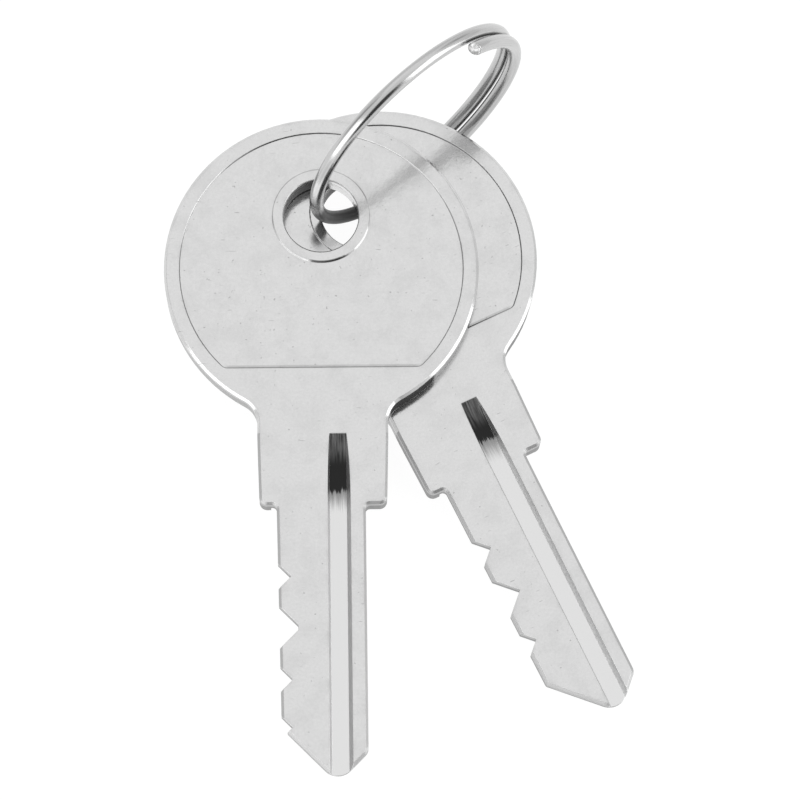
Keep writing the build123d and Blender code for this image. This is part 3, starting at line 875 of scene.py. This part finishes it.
def lay_paper(context, settings):
    """A sheet of paper that reaches far past the picture, a hair under the keys."""
    mesh = bmesh.new()
    bmesh.ops.create_grid(mesh, x_segments=2, y_segments=2, size=PAPER_REACH)
    data = bpy.data.meshes.new("paper")
    mesh.to_mesh(data)
    mesh.free()
    data.materials.append(white_paper(settings))
    paper = bpy.data.objects.new("paper", data)
    paper.location.z = -PAPER_DROP
    context.collection.objects.link(paper)


def heading_vector(heading, height):
    """The direction at a heading round the table and a height over it, both in degrees."""
    heading, height = radians(heading), radians(height)
    return Vector((cos(height) * cos(heading), cos(height) * sin(heading), sin(height)))


def hang_lamp(context, settings, name, heading, height, distance, width, depth, level):
    """A flat lamp that faces the keys, as wide and deep as its angles seen from them."""
    lamp = bpy.data.lights.new(name, "AREA")
    lamp.shape = "RECTANGLE"
    lamp.size = 2 * distance * tan(radians(width / 2))
    lamp.size_y = 2 * distance * tan(radians(depth / 2))
    lamp.energy = level * pi * lamp.size * lamp.size_y
    lamp.color = settings.softbox[:3]
    place = bpy.data.objects.new(name, lamp)
    way = heading_vector(heading, height)
    place.location = way * distance
    place.rotation_euler = way.to_track_quat("Z", "Y").to_euler()
    place.visible_camera = False
    context.collection.objects.link(place)


def pitch_tent(scene, settings):
    """A white light tent round the table: its cloth is even, a little darker low down, with two
    grey seams and a dark open front to the right of the camera."""
    world = bpy.data.worlds.new("light_tent")
    world.use_nodes = True
    tree = world.node_tree
    tree.nodes.clear()
    way = put(tree, "ShaderNodeTexCoord").outputs["Generated"]
    height = put(tree, "ShaderNodeSeparateXYZ", {0: way}).outputs[2]
    rise = put(tree, "ShaderNodeMapRange", {"Value": height, 1: 0.0, 2: 0.5},
               interpolation_type="SMOOTHSTEP").outputs[0]
    cloth = put(tree, "ShaderNodeMix", {
        0: rise, 6: settings.tent_foot[:], 7: settings.tent[:]}, data_type="RGBA").outputs[2]

    # Each patch's heading and height in degrees, its width and depth as parts of the tent's
    # radius, and its colour
    for heading, lift, width, depth, shade in (
        (288, 26, 0.40, 0.62, settings.opening),
        (170, 30, 0.20, 0.46, settings.seam),
        (44, 34, 0.18, 0.36, settings.seam),
    ):
        middle = heading_vector(heading, lift)
        seen = put(tree, "ShaderNodeMapping", {
            "Vector": way, "Location": middle,
            "Rotation": middle.to_track_quat("Z", "Y").to_euler(),
            "Scale": (width, depth, 1.0)}, vector_type="TEXTURE").outputs[0]
        oval = put(tree, "ShaderNodeVectorMath", {0: seen}, operation="LENGTH").outputs["Value"]
        inside = put(tree, "ShaderNodeMapRange", {"Value": oval, 1: 1.15, 2: 0.7},
                     interpolation_type="SMOOTHSTEP").outputs[0]
        cloth = put(tree, "ShaderNodeMix", {0: inside, 6: cloth, 7: shade[:]},
                    data_type="RGBA").outputs[2]
    ray = put(tree, "ShaderNodeLightPath").outputs["Is Camera Ray"]
    cloth = put(tree, "ShaderNodeMix", {0: ray, 6: cloth, 7: (1, 1, 1, 1)},
                data_type="RGBA").outputs[2]
    light = put(tree, "ShaderNodeBackground", {"Color": cloth, "Strength": 1.0})
    put(tree, "ShaderNodeOutputWorld", {"Surface": light.outputs[0]})
    scene.world = world


def camera_matrix(settings):
    """The camera over the front key, from the view's turns and the picture's middle."""
    turned = (Matrix.Rotation(settings.pan, 4, "Y") @ Matrix.Rotation(-settings.tilt, 4, "X")
              @ Matrix.Rotation(settings.roll, 4, "Z"))
    shift = Matrix.Translation((-settings.aim[0], -settings.aim[1], 0))
    back = Matrix.Translation((0, 0, settings.distance))
    return key_frame("front") @ (shift @ turned).inverted() @ back


def stand_camera(context, settings):
    """The camera, with its lens."""
    lens = bpy.data.cameras.new("camera")
    lens.sensor_fit = "AUTO"
    lens.angle = settings.field
    lens.clip_start = 0.01
    camera = bpy.data.objects.new("camera", lens)
    camera.matrix_world = camera_matrix(settings)
    context.collection.objects.link(camera)
    context.scene.camera = camera


class KEYS_PT_panel(bpy.types.Panel):
    """Sizes, finishes and steps of the keys on their split ring"""
    bl_label = "Keys on a Split Ring"
    bl_idname = "KEYS_PT_panel"
    bl_space_type = "VIEW_3D"
    bl_region_type = "UI"
    bl_category = "Keys"

    def draw(self, context):
        for group, operator in GROUPS:
            box = self.layout.box()
            settings = getattr(context.scene, group)
            for name in settings.__annotations__:
                box.prop(settings, name)
            box.operator(operator)


GROUPS = (("ring_sizes", "keys.split_ring"), ("key_finish", "keys.flat_keys"),
          ("stage_settings", "keys.stage"))
CLASSES = (RingSizes, KeyFinish, StageSettings, KEYS_OT_split_ring, KEYS_OT_flat_keys,
           KEYS_OT_stage, KEYS_PT_panel)


def register():
    for cls in CLASSES:
        bpy.utils.register_class(cls)
    bpy.types.Scene.ring_sizes = PointerProperty(type=RingSizes)
    bpy.types.Scene.key_finish = PointerProperty(type=KeyFinish)
    bpy.types.Scene.stage_settings = PointerProperty(type=StageSettings)


def unregister():
    for group, operator in GROUPS:
        delattr(bpy.types.Scene, group)
    for cls in reversed(CLASSES):
        bpy.utils.unregister_class(cls)


def main():
    register()
    bpy.ops.keys.flat_keys()
    bpy.ops.keys.split_ring()
    bpy.ops.keys.stage()


if __name__ == "__main__":
    main()
